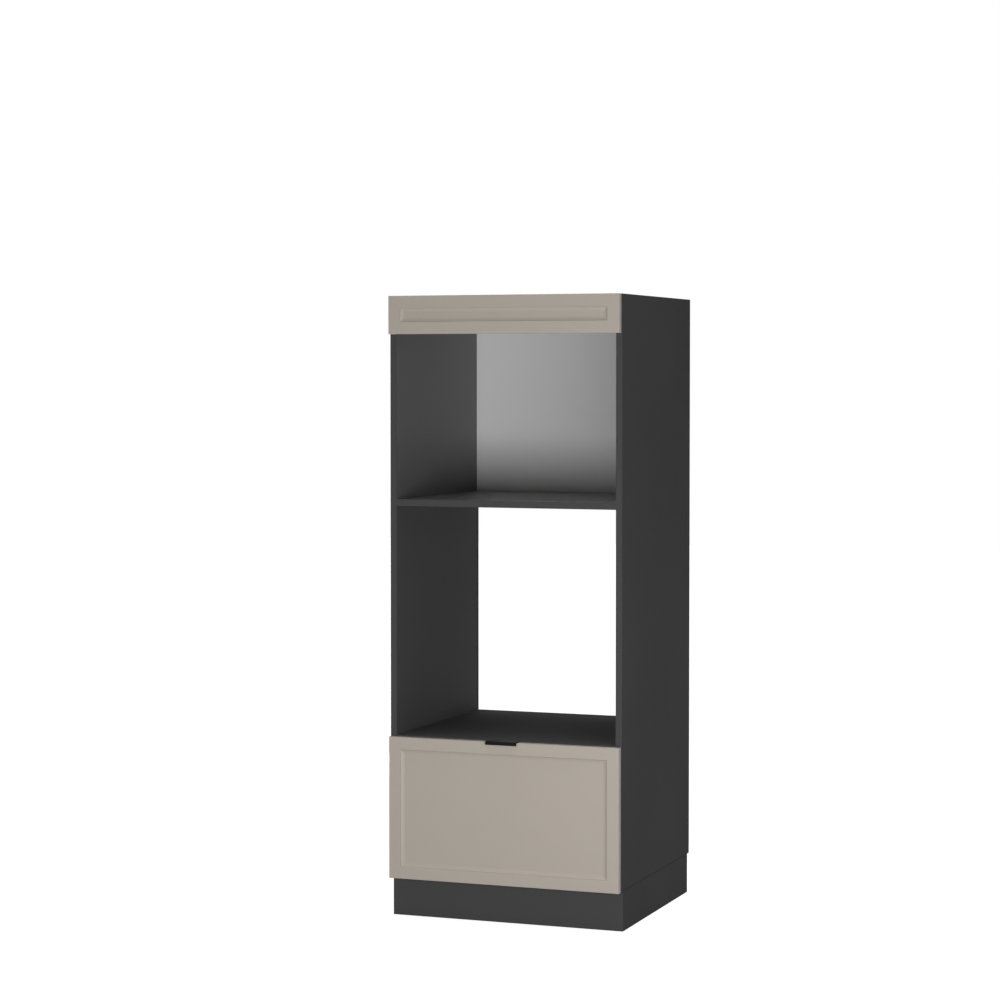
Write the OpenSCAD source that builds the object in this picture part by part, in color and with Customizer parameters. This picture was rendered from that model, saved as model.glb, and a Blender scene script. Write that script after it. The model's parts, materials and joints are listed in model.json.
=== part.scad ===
// Half-height housing cabinet for a built-in oven and a microwave, with one deep drawer.
// +X is to the right, +Y runs back to the wall, +Z is up. Lengths are in millimetres.
// The origin is on the floor, under the centre of the whole outline.

/* [Carcass] */
// Outer width of the carcass
cab_w = 600; // [500:10:900]
// How much deeper the side boards are than the runners are long
depth_past_runners = 60; // [40:5:120]
// Thickness of the melamine boards
board_t = 16; // [16:0.5:19]
// Thickness of the hardboard backs and of the drawer bottom
back_t = 3; // [2.5:0.1:4]
// Depth of the hollow behind the backs
back_inset = 10; // [8:1:16]
// Depth of the grooves that hold hardboard
groove_depth = 8; // [5:0.5:10]
// Height of the rail behind the fascia
rail_h = 72; // [50:1:72]

/* [Niches] */
// Clear height of the drawer bay
drawer_bay_h = 317; // [290:1:360]
// Clear height of the oven niche
oven_niche_h = 566; // [500:1:620]
// Height of the microwave niche, from its floor to the fascia
microwave_niche_h = 406; // [350:1:450]
// Height of the fascia above the microwave niche
fascia_h = 94; // [94:1:140]

/* [Fronts] */
// Thickness of the lacquered fronts
front_t = 16; // [16:0.5:19]
// Gap between the carcass and the back of a front
front_gap = 2; // [1.8:0.1:3]
// How far a front stays inside the carcass at each side
front_side_reveal = 2; // [1:0.5:3]
// How far the drawer front hangs below the carcass
front_drop = 4; // [0:0.5:5]
// How far the drawer front stays below the oven shelf
front_reveal = 2.5; // [2:0.5:6]
// Width of the plain border of a front
border_w = 30; // [20:1:33]
// Depth of the milled field
field_depth = 5.5; // [4:0.5:6]
// Depth of the steep step beside the border
step_depth = 2.5; // [1:0.5:3]
// Width of the steep step beside the border
step_w = 1.4; // [0.6:0.2:3]
// Width of the cove between step and field
cove_w = 9; // [5:0.5:10]
// Rounding of the outer edges of a front
edge_r = 2; // [0.5:0.5:3]

/* [Handle] */
// Width of the edge pull
handle_w = 80; // [50:5:200]
// How far the pull stands out in front of the drawer front
handle_reach = 10; // [8:0.5:20]
// Thickness of the pull's plate
handle_t = 2; // [1.5:0.1:2.5]
// Height of the pull's lip
lip_h = 8.5; // [6:0.5:12]
// Height of the flange behind the drawer front
flange_h = 32; // [30:1:45]
// Thickness of the flange behind the drawer front
flange_t = 1.5; // [1:0.1:1.5]

/* [Plinth and feet] */
// Height of the plinth, from the floor to the carcass
plinth_h = 100; // [90:1:150]
// Open seam between plinth and carcass
plinth_seam = 1; // [0.5:0.5:4]
// How far the plinth stands behind the front edge of the carcass
plinth_setback = 14; // [5:1:30]
// How far the plinth ends before the back of the carcass
plinth_rear_gap = 12; // [0:1:30]
// How far the plinth stands in from each side
plinth_side_inset = 1; // [0:0.5:3]
// Distance from a foot's centre to the front edge
foot_front = 74; // [70:1:120]
// Distance from a foot's centre to the back edge
foot_back = 70; // [60:1:120]
// Distance from a foot's centre to the side
foot_side = 78; // [76:1:110]
// Radius of the foot's tube
tube_r = 15; // [13:0.5:17]
// Radius of the threaded spindle
spindle_r = 5; // [4:0.5:6]
// Radius of the foot's pad
pad_r = 25; // [20:1:30]

/* [Drawer] */
// Height of the drawer box
box_h = 200; // [150:5:220]
// Space below the drawer box
box_clear = 20; // [12:1:40]
// Height of the runners' centre above the lower edge of the drawer box
runner_height = 80; // [60:1:100]
// Height of the drawer bottom above the lower edge of the drawer box
box_bottom_up = 12; // [8:1:20]

/* [Ball-bearing runners] */
// Length of a runner, which is also its travel
runner_l = 500; // [350:50:600]
// Height of a runner
runner_h = 45; // [43:0.5:48]
// Thickness of a runner, from the cabinet side to the drawer side
runner_t = 12.7; // [12.7:0.1:14]
// Thickness of the runner's sheet steel
sheet = 1.2; // [1:0.1:1.3]
// Diameter of the balls between outer and middle members
outer_ball_d = 4; // [3.5:0.1:4.2]
// Diameter of the balls between middle and inner members
inner_ball_d = 3.2; // [2.8:0.1:3.6]
// Distance between the balls in a row
ball_pitch = 20; // [10:1:40]

/* [Fittings] */
// Radius of the wooden dowels
dowel_r = 4; // [3:0.5:5]
// Length of the wooden dowels
dowel_l = 30; // [25:1:35]
// Radius of the cam housings
cam_r = 7.5; // [7:0.5:8]
// Depth of the cam housings
cam_h = 12.5; // [12:0.1:13]
// Distance from a board's end to the centre of its cams
cam_inset = 34; // [26:1:34]
// Distance from a board's edge to its first dowel
fitting_setback = 60; // [30:1:80]
// Distance from a dowel to the cam beside it
fitting_pitch = 32; // [25:1:64]
// Distance from the centre to each wall bracket
bracket_x = 200; // [120:5:210]

/* [Hidden] */
$fn = 48;
cove_sides = 96;
ball_sides = 24;

// Fits: clearance round a fixed pin, and between pieces that slide past each other
fit = 0.05;
slide_gap = 0.3;
cut = 1;

// Levels, from the floor up
bay_floor = plinth_h + board_t;
oven_shelf_z = bay_floor + drawer_bay_h;
oven_floor = oven_shelf_z + board_t;
microwave_shelf_z = oven_floor + oven_niche_h;
microwave_floor = microwave_shelf_z + board_t;
fascia_z = microwave_floor + microwave_niche_h;
top_z = fascia_z + fascia_h;
top_panel_z = top_z - board_t;

// Depths, from the handle's lip to the wall
cab_d = runner_l + depth_past_runners;
y_front = (handle_reach + front_t + front_gap - cab_d) / 2;
y_back = y_front + cab_d;
y_hardboard = y_back - back_inset - back_t;
y_front_rear = y_front - front_gap;
y_face = y_front_rear - front_t;
shelf_d = y_hardboard - y_front;

// Widths
inner_w = cab_w - 2 * board_t;
front_w = cab_w - 2 * front_side_reveal;

// Board joints
dowel_in_side = 11;
cam_bolt_in_side = 11;
cam_bolt_r = 3.5;
cam_bolt_thread_r = 2.5;
cam_bolt_neck_r = 2.2;
cam_bolt_head_l = 4;
cam_bolt_stop = 2;
cam_slot = [8, 1.6, 2.5];
cap_r = cam_r + 1;
cap_t = 1;
cap_bevel = 0.4;
cap_pin_r = 0.7;
cap_pin_l = 2;
rail_z = top_panel_z - rail_h;

// Screws: head radius, head height, shank radius
small_screw = [3.2, 1.2, 1.75];
wood_screw = [4, 2.4, 2];
tip_l = 3;
tip_r = 0.3;
slot_w = 0.8;
head_taper = 0.8;
wood_screw_in = 12;
back_screw_in = 12;
back_screw_x = inner_w / 2 - fitting_setback;

// Fascia
fascia_screw_in = 9;
fascia_screw_side = 60;
fascia_screw_x = front_w / 2 - fascia_screw_side;
fascia_screw_z = (rail_z + top_panel_z) / 2;
spacer_r = 8;

// Wall brackets
bracket_w = 30;
bracket_leg = 38;
bracket_t = 2;
wall_hole_r = 3;
wall_pass_r = 5;
wall_hole_down = 19;
bracket_screw_x = 8;
bracket_screw_back = 23;

// Plinth and feet
plinth_t = board_t;
plinth_board_h = plinth_h - plinth_seam;
plinth_y = y_front + plinth_setback;
plinth_rear_y = y_back - plinth_rear_gap;
plinth_x = cab_w / 2 - plinth_side_inset;
foot_x = cab_w / 2 - foot_side;
foot_front_y = y_front + foot_front;
foot_back_y = y_back - foot_back;
pad_h = 8;
pad_boss_r = spindle_r + 4;
pad_boss_h = 1.7;
pad_floor = 3;
pad_edge = 1;
pad_rim_h = 3.5;
collar_z = pad_h + 2;
collar_h = 6;
collar_r = spindle_r + 4.8;
tube_z = collar_z + collar_h + slide_gap;
foot_travel = 20;
foot_flange_r = tube_r + 15;
foot_flange_t = 4;
foot_shoulder = 3;
foot_edge = 1;
spindle_room = 2;
spindle_top = plinth_h - foot_travel;
foot_screw_r = (tube_r + foot_flange_r) / 2;
clip_h = 12;
clip_t = 3;
clip_w = 40;
clip_web_w = 12;
clip_gap = 6;
clip_front_z = 40;
clip_side_z = clip_front_z + clip_h + clip_gap;
clip_screw_edge = 6;
clip_screw_x = clip_w / 2 - clip_screw_edge;
clip_mouth = 22;
clip_screw_in = 11;

// Drawer box
box_w = inner_w - 2 * runner_t;
box_z = bay_floor + box_clear;
box_y = y_front_rear;
runner_setback = 2;
runner_y = y_front + runner_setback;
box_d = runner_y + runner_l - box_y;
box_inner_w = box_w - 2 * board_t;
box_bottom_z = box_z + box_bottom_up;
box_screw_r = 3.4;
box_screw_head_r = 5;
box_screw_head_h = 2.5;
box_screw_l = 48;
box_screw_tip_r = 1;
box_screw_edge = 30;
drawer_front_z = plinth_h - front_drop;
drawer_front_top = oven_floor - front_reveal;
drawer_front_h = drawer_front_top - drawer_front_z;
front_screw_in = 9;
front_screw_side = 60;
front_screw_x = box_inner_w / 2 - front_screw_side;
front_screw_edge = 50;
buffer_r = 5;
buffer_t = front_gap - slide_gap / 2;
buffer_edge = 20;

// Handle
handle_back_y = y_front_rear + flange_t;
handle_top = drawer_front_top + handle_t;
handle_screw_side = 15;
handle_screw_up = 7;
handle_screw_x = handle_w / 2 - handle_screw_side;
handle_screw_z = handle_top - flange_h + handle_screw_up;
handle_corner_r = 1.5;

// Runner section: u is the distance from the cabinet side, v the height from the centre
ball_play = 0.15;
race_depth = 0.35;
cage_t = 0.4;
outer_ball_r = outer_ball_d / 2;
inner_ball_r = inner_ball_d / 2;
outer_race_r = outer_ball_r + ball_play;
inner_race_r = inner_ball_r + ball_play;
outer_v = runner_h / 2;
outer_ball_v = outer_v - sheet - outer_race_r;
middle_v = outer_ball_v - outer_race_r + race_depth;
inner_ball_v = middle_v - sheet - inner_race_r;
inner_v = inner_ball_v - inner_race_r + race_depth;
outer_cage_u = sheet + small_screw[1] + slide_gap;
middle_u = outer_cage_u + cage_t + slide_gap;
inner_cage_u = middle_u + sheet + slide_gap;
inner_tip_u = inner_cage_u + cage_t + slide_gap;
outer_ball_u = runner_t / 2;
inner_ball_u = (inner_tip_u + runner_t - sheet) / 2;
cage_margin = 15;
cage_l = runner_l / 2 - 2 * cage_margin;
cage_start = runner_l / 4 + cage_margin;
cage_hole_play = 0.1;
cage_past = 1;
ball_count = floor((cage_l - ball_pitch / 2) / ball_pitch) + 1;
runner_z = box_z + runner_height;
runner_screw_in = 12;
runner_screw_end = 37;
runner_screws = [runner_screw_end, runner_l / 2, runner_l - runner_screw_end];

// Colours
graphite = [0.24, 0.24, 0.245];
taupe = [0.65, 0.61, 0.57];
light_grey = [0.62, 0.62, 0.63];
box_grey = [0.80, 0.80, 0.79];
zinc = [0.72, 0.73, 0.75];
steel = [0.55, 0.56, 0.58];
black = [0.06, 0.06, 0.065];
beech = [0.80, 0.66, 0.47];
milky = [0.85, 0.86, 0.86];

// ---------------------------------------------------------------- shared shapes

module rod_x(r, l) rotate([0, 90, 0]) cylinder(r = r, h = l);

module rod_y(r, l) rotate([-90, 0, 0]) cylinder(r = r, h = l);

module both_sides() {
    children();
    mirror([1, 0, 0]) children();
}

module top_and_bottom() {
    children();
    mirror([0, 1]) children();
}

// A profile drawn in depth and height, run along X and centred
module along_x(l) translate([-l / 2, 0, 0]) rotate([90, 0, 90]) linear_extrude(l) children();

module board(x, y, z) translate([-x / 2, 0, 0]) cube([x, y, z]);

// Screw pointing up, with the underside of its head at zero
module screw(size, l) {
    difference() {
        translate([0, 0, -size[1]])
            cylinder(r1 = size[0] - head_taper, r2 = size[0], h = size[1]);
        for (turn = [0, 90])
            rotate([0, 0, turn])
                translate([-size[0] / 2, -slot_w / 2, -size[1] - cut])
                    cube([size[0], slot_w, cut + size[1] / 2]);
    }
    cylinder(r = size[2], h = l - tip_l);
    translate([0, 0, l - tip_l]) cylinder(r1 = size[2], r2 = tip_r, h = tip_l);
}

module screw_hole(size, l) translate([0, 0, -cut]) cylinder(r = size[2] + fit, h = l + cut + fit);

// ---------------------------------------------------------------- board joints

function dowel_ys(y0, depth) = [y0 + fitting_setback, y0 + depth - fitting_setback];

function cam_ys(y0, depth) = [
    y0 + fitting_setback + fitting_pitch,
    y0 + depth - fitting_setback - fitting_pitch
];

// Undersides and mid-heights of the four boards that run between the sides
board_zs = [plinth_h, oven_shelf_z, microwave_shelf_z, top_panel_z];
joint_zs = [for (z = board_zs) z + board_t / 2];
rail_dowel_zs = [rail_z + rail_h / 2 - fitting_pitch / 2, rail_z + rail_h / 2 + fitting_pitch / 2];

// Right-hand dowel of one joint
module dowel(y, z) translate([inner_w / 2 - dowel_l + dowel_in_side, y, z]) rod_x(dowel_r, dowel_l);

module dowel_bore(y, z)
    translate([inner_w / 2 - dowel_l + dowel_in_side - fit, y, z])
        rod_x(dowel_r + fit, dowel_l + 2 * fit);

module right_dowels(bore = false) {
    for (z = joint_zs)
        for (y = dowel_ys(y_front, shelf_d))
            if (bore) dowel_bore(y, z); else dowel(y, z);
    for (z = rail_dowel_zs)
        if (bore) dowel_bore(y_front + board_t / 2, z); else dowel(y_front + board_t / 2, z);
}

// Bolt that screws into the side and is gripped by the cam
module cam_bolt(y, z) {
    neck_l = cam_inset - cam_bolt_head_l - cam_bolt_stop;
    translate([inner_w / 2 - fit, y, z]) rod_x(cam_bolt_thread_r, cam_bolt_in_side);
    translate([inner_w / 2 - cam_inset + cam_r + fit, y, z])
        rod_x(cam_bolt_r, cam_inset - cam_r - fit);
    translate([inner_w / 2 - neck_l - cam_bolt_head_l, y, z]) rod_x(cam_bolt_r, cam_bolt_head_l);
    translate([inner_w / 2 - neck_l - fit, y, z]) rod_x(cam_bolt_neck_r, neck_l);
}

module cam_bolt_bore(y, z) {
    translate([inner_w / 2 - cut, y, z])
        rod_x(cam_bolt_thread_r + fit, cam_bolt_in_side + cut + fit);
    translate([inner_w / 2 - cam_inset, y, z]) rod_x(cam_bolt_r + fit, cam_inset);
}

// Cam with its bolt pocket and cross slot; it opens at the board's underside or, turned, its top
module cam(y, z, up) {
    difference() {
        translate([inner_w / 2 - cam_inset, y, z])
            mirror([0, 0, up ? 1 : 0])
                difference() {
                    translate([0, 0, -board_t / 2]) cylinder(r = cam_r, h = cam_h);
                    for (turn = [0, 90])
                        rotate([0, 0, turn])
                            translate([-cam_slot[0] / 2, -cam_slot[1] / 2, -board_t / 2 - cut])
                                cube([cam_slot[0], cam_slot[1], cut + cam_slot[2]]);
                }
        translate([inner_w / 2 - cam_inset - cam_bolt_thread_r, y, z])
            rod_x(cam_bolt_r + fit, cam_inset);
    }
}

module cam_bore(y, z, up)
    translate([inner_w / 2 - cam_inset, y, z])
        mirror([0, 0, up ? 1 : 0])
            translate([0, 0, -board_t / 2 - cut]) cylinder(r = cam_r + fit, h = cam_h + cut + fit);

module cam_cap(y, z, up)
    translate([inner_w / 2 - cam_inset, y, z])
        mirror([0, 0, up ? 1 : 0])
            translate([0, 0, -board_t / 2 - cap_t]) {
                cylinder(r1 = cap_r - cap_bevel, r2 = cap_r, h = cap_t);
                translate([0, 0, cap_t]) cylinder(r = cap_pin_r, h = cap_pin_l);
            }

// ---------------------------------------------------------------- carcass

module right_side_board() {
    difference() {
        translate([inner_w / 2, y_front, plinth_h]) cube([board_t, cab_d, top_z - plinth_h]);
        translate([inner_w / 2 - cut, y_hardboard - fit, plinth_h - cut])
            cube([groove_depth + cut + fit, back_t + 2 * fit, top_z - plinth_h + 2 * cut]);
        right_dowels(bore = true);
        for (z = joint_zs)
            for (y = cam_ys(y_front, shelf_d)) cam_bolt_bore(y, z);
        for (y = runner_screws)
            translate([inner_w / 2, runner_y + y, runner_z])
                rotate([0, 90, 0]) screw_hole(small_screw, runner_screw_in);
    }
}

module right_side() color(graphite) right_side_board();

module left_side() color(graphite) mirror([1, 0, 0]) right_side_board();

// Three places in the back where it is screwed to the rear edge of a board
module back_screw_row(z)
    for (x = [-back_screw_x, 0, back_screw_x])
        translate([x, y_hardboard + back_t, z + board_t / 2]) rotate([90, 0, 0]) children();

module back_screw_hole() screw_hole(small_screw, back_t + back_screw_in);

// A board between the sides, drilled for its dowels, bolts, cams and back screws
module cross_board(z, up) {
    difference() {
        translate([0, y_front, z]) board(inner_w, shelf_d, board_t);
        both_sides() {
            for (y = dowel_ys(y_front, shelf_d)) dowel_bore(y, z + board_t / 2);
            for (y = cam_ys(y_front, shelf_d)) {
                cam_bolt_bore(y, z + board_t / 2);
                cam_bore(y, z + board_t / 2, up);
            }
        }
        back_screw_row(z) back_screw_hole();
        children();
    }
}

module bottom_panel()
    color(graphite)
        cross_board(plinth_h, true) {
            at_feet() foot_screw_places() screw_hole(wood_screw, wood_screw_in);
        }

module oven_shelf() color(graphite) cross_board(oven_shelf_z, false);

module microwave_shelf() color(graphite) cross_board(microwave_shelf_z, false);

module top_panel()
    color(graphite)
        cross_board(top_panel_z, false) {
            bracket_screw_places() screw_hole(wood_screw, wood_screw_in);
        }

module front_rail()
    color(graphite)
        difference() {
            translate([0, y_front, rail_z]) board(inner_w, board_t, rail_h);
            both_sides() {
                for (z = rail_dowel_zs) dowel_bore(y_front + board_t / 2, z);
                translate([fascia_screw_x, y_front - cut, fascia_screw_z])
                    rod_y(wood_screw[2] + fit, board_t + 2 * cut);
            }
        }

module hardboard(z, top) {
    width = inner_w + 2 * groove_depth;
    translate([0, y_hardboard, z]) board(width, back_t, top - z);
}

module microwave_back()
    color(light_grey)
        difference() {
            hardboard(microwave_shelf_z, top_z);
            bracket_places()
                translate([0, -cut, -wall_hole_down]) rod_y(wall_pass_r, back_t + 2 * cut);
            for (z = [microwave_shelf_z, top_panel_z]) back_screw_row(z) back_screw_hole();
        }

module lower_back()
    color(light_grey)
        difference() {
            hardboard(plinth_h, oven_floor);
            for (z = [plinth_h, oven_shelf_z]) back_screw_row(z) back_screw_hole();
        }

module back_screws()
    color(zinc)
        for (z = board_zs) back_screw_row(z) screw(small_screw, back_t + back_screw_in);

module dowels() color(beech) both_sides() right_dowels();

module cam_housings()
    color(steel)
        both_sides()
            for (i = [0:3])
                for (y = cam_ys(y_front, shelf_d)) cam(y, joint_zs[i], i == 0);

module cam_bolts()
    color(zinc)
        both_sides()
            for (z = joint_zs)
                for (y = cam_ys(y_front, shelf_d)) cam_bolt(y, z);

module cam_caps()
    color(graphite)
        both_sides()
            for (i = [0:3])
                for (y = cam_ys(y_front, shelf_d)) cam_cap(y, joint_zs[i], i == 0);

// ---------------------------------------------------------------- fronts

// Section of a front: its face at y = 0, with rounded edges
module slab_section(w) {
    translate([-w / 2, edge_r]) square([w, front_t - edge_r]);
    translate([-w / 2 + edge_r, 0]) square([w - 2 * edge_r, front_t]);
    for (side = [-1, 1]) translate([side * (w / 2 - edge_r), edge_r]) circle(edge_r);
}

// Section of the milled field: at each end a steep step, then a cove that runs out flat
module field_section(w) {
    cove_d = field_depth - step_depth;
    cove_r = (cove_w * cove_w + cove_d * cove_d) / (2 * cove_d);
    foot = w / 2 - step_w;
    flat = foot - cove_w;
    translate([-w / 2, -cut]) square([w, cut]);
    polygon([[-w / 2, 0], [w / 2, 0], [foot, step_depth], [-foot, step_depth]]);
    intersection() {
        union() {
            translate([-flat, 0]) square([2 * flat, field_depth]);
            for (side = [-1, 1])
                translate([side * flat, field_depth - cove_r]) circle(cove_r, $fn = cove_sides);
        }
        translate([-w / 2, step_depth]) square([w, cove_d]);
    }
}

// Slab with a sunk field; each section runs across the width and down the height, so it mitres
module framed_front(h) {
    difference() {
        intersection() {
            linear_extrude(h, center = true) slab_section(front_w);
            rotate([0, 90, 0]) linear_extrude(front_w, center = true) slab_section(h);
        }
        intersection() {
            linear_extrude(h, center = true) field_section(front_w - 2 * border_w);
            rotate([0, 90, 0])
                linear_extrude(front_w, center = true) field_section(h - 2 * border_w);
        }
    }
}

module fascia()
    color(taupe)
        difference() {
            translate([0, y_face, fascia_z + fascia_h / 2]) framed_front(fascia_h);
            both_sides()
                translate([fascia_screw_x, y_front_rear - fascia_screw_in - fit, fascia_screw_z])
                    rod_y(wood_screw[2] + fit, fascia_screw_in + cut);
        }

module fascia_spacers()
    color(black)
        both_sides()
            translate([fascia_screw_x, y_front_rear, fascia_screw_z])
                difference() {
                    rod_y(spacer_r, front_gap);
                    translate([0, -cut, 0]) rod_y(wood_screw[2] + fit, front_gap + 2 * cut);
                }

module fascia_screws()
    color(zinc)
        both_sides()
            translate([fascia_screw_x, y_front + board_t, fascia_screw_z])
                rotate([90, 0, 0]) screw(wood_screw, board_t + front_gap + fascia_screw_in);

// ---------------------------------------------------------------- wall brackets

// Inner corner of each bracket, where the top panel meets the back
module bracket_places()
    both_sides() translate([bracket_x, y_hardboard, top_panel_z]) children();

module bracket_screw_places()
    bracket_places()
        for (side = [-1, 1])
            translate([side * bracket_screw_x, -bracket_screw_back, 0]) children();

module wall_brackets()
    color(zinc)
        bracket_places()
            difference() {
                along_x(bracket_w) {
                    translate([-bracket_leg, -bracket_t]) square([bracket_leg, bracket_t]);
                    translate([-bracket_t, -bracket_leg]) square([bracket_t, bracket_leg]);
                    translate([-2 * bracket_t, -2 * bracket_t])
                        difference() {
                            square(bracket_t);
                            circle(bracket_t);
                        }
                }
                translate([0, -bracket_t - cut, -wall_hole_down])
                    rod_y(wall_hole_r, bracket_t + 2 * cut);
                for (side = [-1, 1])
                    translate([side * bracket_screw_x, -bracket_screw_back, -bracket_t - cut])
                        cylinder(r = wood_screw[2] + fit, h = bracket_t + 2 * cut);
            }

module bracket_screws()
    color(zinc)
        bracket_screw_places()
            translate([0, 0, -bracket_t]) screw(wood_screw, wood_screw_in + bracket_t - cut);

// ---------------------------------------------------------------- plinth

module plinth_side_board() {
    front = plinth_y + plinth_t;
    difference() {
        translate([plinth_x - plinth_t, front, 0])
            cube([plinth_t, plinth_rear_y - front, plinth_board_h]);
        for (y = [foot_front_y, foot_back_y])
            translate([plinth_x - plinth_t, y, clip_side_z + clip_h / 2])
                rotate([0, 90, 0]) clip_screw_places() screw_hole(small_screw, clip_screw_in);
    }
}

module plinth_front()
    color(graphite)
        difference() {
            translate([0, plinth_y, 0]) board(2 * plinth_x, plinth_t, plinth_board_h);
            both_sides()
                translate([foot_x, plinth_y + plinth_t, clip_front_z + clip_h / 2])
                    rotate([90, 0, 0]) rotate([0, 0, 90])
                        clip_screw_places() screw_hole(small_screw, clip_screw_in);
        }

module plinth_left() color(graphite) mirror([1, 0, 0]) plinth_side_board();

module plinth_right() color(graphite) plinth_side_board();

module clip_screw_places()
    for (side = [-1, 1]) translate([0, side * clip_screw_x, 0]) children();

// Clip that grips a tube at the origin and reaches +X to a board at that distance
module clip(reach) {
    difference() {
        union() {
            cylinder(r = tube_r + clip_t, h = clip_h);
            translate([tube_r, -clip_web_w / 2, 0]) cube([reach - tube_r, clip_web_w, clip_h]);
            translate([reach - clip_t, -clip_w / 2, 0]) cube([clip_t, clip_w, clip_h]);
        }
        translate([0, 0, -cut]) cylinder(r = tube_r + fit, h = clip_h + 2 * cut);
        translate([-2 * tube_r, -clip_mouth / 2, -cut])
            cube([2 * tube_r, clip_mouth, clip_h + 2 * cut]);
        translate([reach - clip_t - cut, 0, clip_h / 2])
            for (side = [-1, 1])
                translate([0, side * clip_screw_x, 0])
                    rod_x(small_screw[2] + fit, clip_t + 2 * cut);
    }
}

// Stands each child at a front foot facing the front board, or at each foot facing a side board
module front_clip_places()
    both_sides() translate([foot_x, foot_front_y, clip_front_z]) rotate([0, 0, -90]) children();

module side_clip_places()
    both_sides()
        for (y = [foot_front_y, foot_back_y]) translate([foot_x, y, clip_side_z]) children();

front_clip_reach = foot_front_y - plinth_y - plinth_t;
side_clip_reach = plinth_x - plinth_t - foot_x;

module plinth_clips()
    color(black) {
        front_clip_places() clip(front_clip_reach);
        side_clip_places() clip(side_clip_reach);
    }

module clip_screw_pair(reach)
    translate([reach - clip_t, 0, clip_h / 2])
        rotate([0, 90, 0])
            clip_screw_places() screw(small_screw, clip_t + clip_screw_in - cut);

module clip_screws()
    color(zinc) {
        front_clip_places() clip_screw_pair(front_clip_reach);
        side_clip_places() clip_screw_pair(side_clip_reach);
    }

// ---------------------------------------------------------------- feet

module at_feet()
    both_sides()
        for (y = [foot_front_y, foot_back_y]) translate([foot_x, y, plinth_h]) children();

module foot_screw_places()
    for (turn = [45:90:315]) rotate([0, 0, turn]) translate([foot_screw_r, 0, 0]) children();

// Socket with a screw flange above and a tube for the spindle; zero is the carcass's underside
module leg_socket() {
    tube_l = plinth_h - tube_z;
    difference() {
        rotate_extrude()
            polygon([
                [0, 0], [foot_flange_r, 0], [foot_flange_r, -foot_flange_t],
                [tube_r + foot_shoulder, -foot_flange_t], [tube_r, -foot_flange_t - foot_shoulder],
                [tube_r, foot_edge - tube_l], [tube_r - foot_edge, -tube_l], [0, -tube_l]
            ]);
        translate([0, 0, -tube_l - cut])
            cylinder(r = spindle_r + slide_gap, h = tube_l - foot_travel + spindle_room + cut);
        foot_screw_places()
            translate([0, 0, -foot_flange_t - cut])
                cylinder(r = wood_screw[2] + fit, h = foot_flange_t + 2 * cut);
    }
}

module leg_sockets() color(black) at_feet() leg_socket();

module leg_screws()
    color(zinc)
        at_feet() foot_screw_places()
            translate([0, 0, -foot_flange_t])
                screw(wood_screw, foot_flange_t + wood_screw_in - cut);

// Threaded spindle with a hexagon for a spanner and a ball end that swivels in the pad
module spindle() {
    translate([0, 0, collar_z + collar_h - cut]) {
        cylinder(r = spindle_r, h = spindle_top - collar_z - collar_h);
        translate([0, 0, spindle_top - collar_z - collar_h])
            cylinder(r1 = spindle_r, r2 = spindle_r - foot_edge, h = foot_edge);
    }
    translate([0, 0, collar_z]) cylinder(r = collar_r, h = collar_h, $fn = 6);
    translate([0, 0, pad_floor + slide_gap + spindle_r]) sphere(spindle_r);
}

module pad() {
    difference() {
        rotate_extrude()
            polygon([
                [0, 0], [pad_r - pad_edge, 0], [pad_r, pad_edge], [pad_r, pad_rim_h],
                [pad_boss_r, pad_h], [pad_boss_r, pad_h + pad_boss_h], [0, pad_h + pad_boss_h]
            ]);
        translate([0, 0, pad_floor]) cylinder(r = spindle_r + slide_gap, h = pad_h + pad_boss_h);
    }
}

module at_foot(side, y) translate([side * foot_x, y, 0]) children();

module spindle_front_left() color(zinc) at_foot(-1, foot_front_y) spindle();

module spindle_front_right() color(zinc) at_foot(1, foot_front_y) spindle();

module spindle_rear_left() color(zinc) at_foot(-1, foot_back_y) spindle();

module spindle_rear_right() color(zinc) at_foot(1, foot_back_y) spindle();

module pad_front_left() color(black) at_foot(-1, foot_front_y) pad();

module pad_front_right() color(black) at_foot(1, foot_front_y) pad();

module pad_rear_left() color(black) at_foot(-1, foot_back_y) pad();

module pad_rear_right() color(black) at_foot(1, foot_back_y) pad();

// ---------------------------------------------------------------- ball-bearing runners

// A section drawn in u and v, run along the right-hand runner from y0 for the length l
module along_runner(y0, l)
    translate([inner_w / 2, runner_y + y0 + l, runner_z])
        rotate([90, 0, 0]) linear_extrude(l) mirror([1, 0]) children();

// Quarter ring that turns a flange down round its ball row
module race_lip(r) {
    intersection() {
        difference() {
            circle(r + sheet);
            circle(r);
        }
        square(r + sheet);
    }
}

// Web of a section, which ends inside the flanges
module web(u, t, v) translate([u, -v + t / 2]) square([t, 2 * v - t]);

// Upper and lower flange, from u0 to u1, with their outer faces at the height v
module flanges(u0, u1, t, v)
    for (low = [-v, v - t]) translate([u0, low]) square([u1 - u0, t]);

module outer_section() {
    web(0, sheet, outer_v);
    flanges(0, outer_ball_u, sheet, outer_v);
    top_and_bottom() translate([outer_ball_u, outer_ball_v]) race_lip(outer_race_r);
}

module middle_section() {
    difference() {
        union() {
            web(middle_u, sheet, middle_v);
            flanges(middle_u, inner_ball_u, sheet, middle_v);
            top_and_bottom() translate([inner_ball_u, inner_ball_v]) race_lip(inner_race_r);
        }
        top_and_bottom() translate([outer_ball_u, outer_ball_v]) circle(outer_race_r);
    }
}

module inner_section() {
    difference() {
        union() {
            web(runner_t - sheet, sheet, inner_v);
            flanges(inner_tip_u, runner_t, sheet, inner_v);
        }
        top_and_bottom() translate([inner_ball_u, inner_ball_v]) circle(inner_race_r);
    }
}

// Ball cage: a thin channel whose flanges hold the balls at half height
module cage_section(u, ball_u, ball_v) {
    web(u, cage_t, ball_v + cage_t / 2);
    flanges(u, ball_u + cage_past, cage_t, ball_v + cage_t / 2);
}

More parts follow.
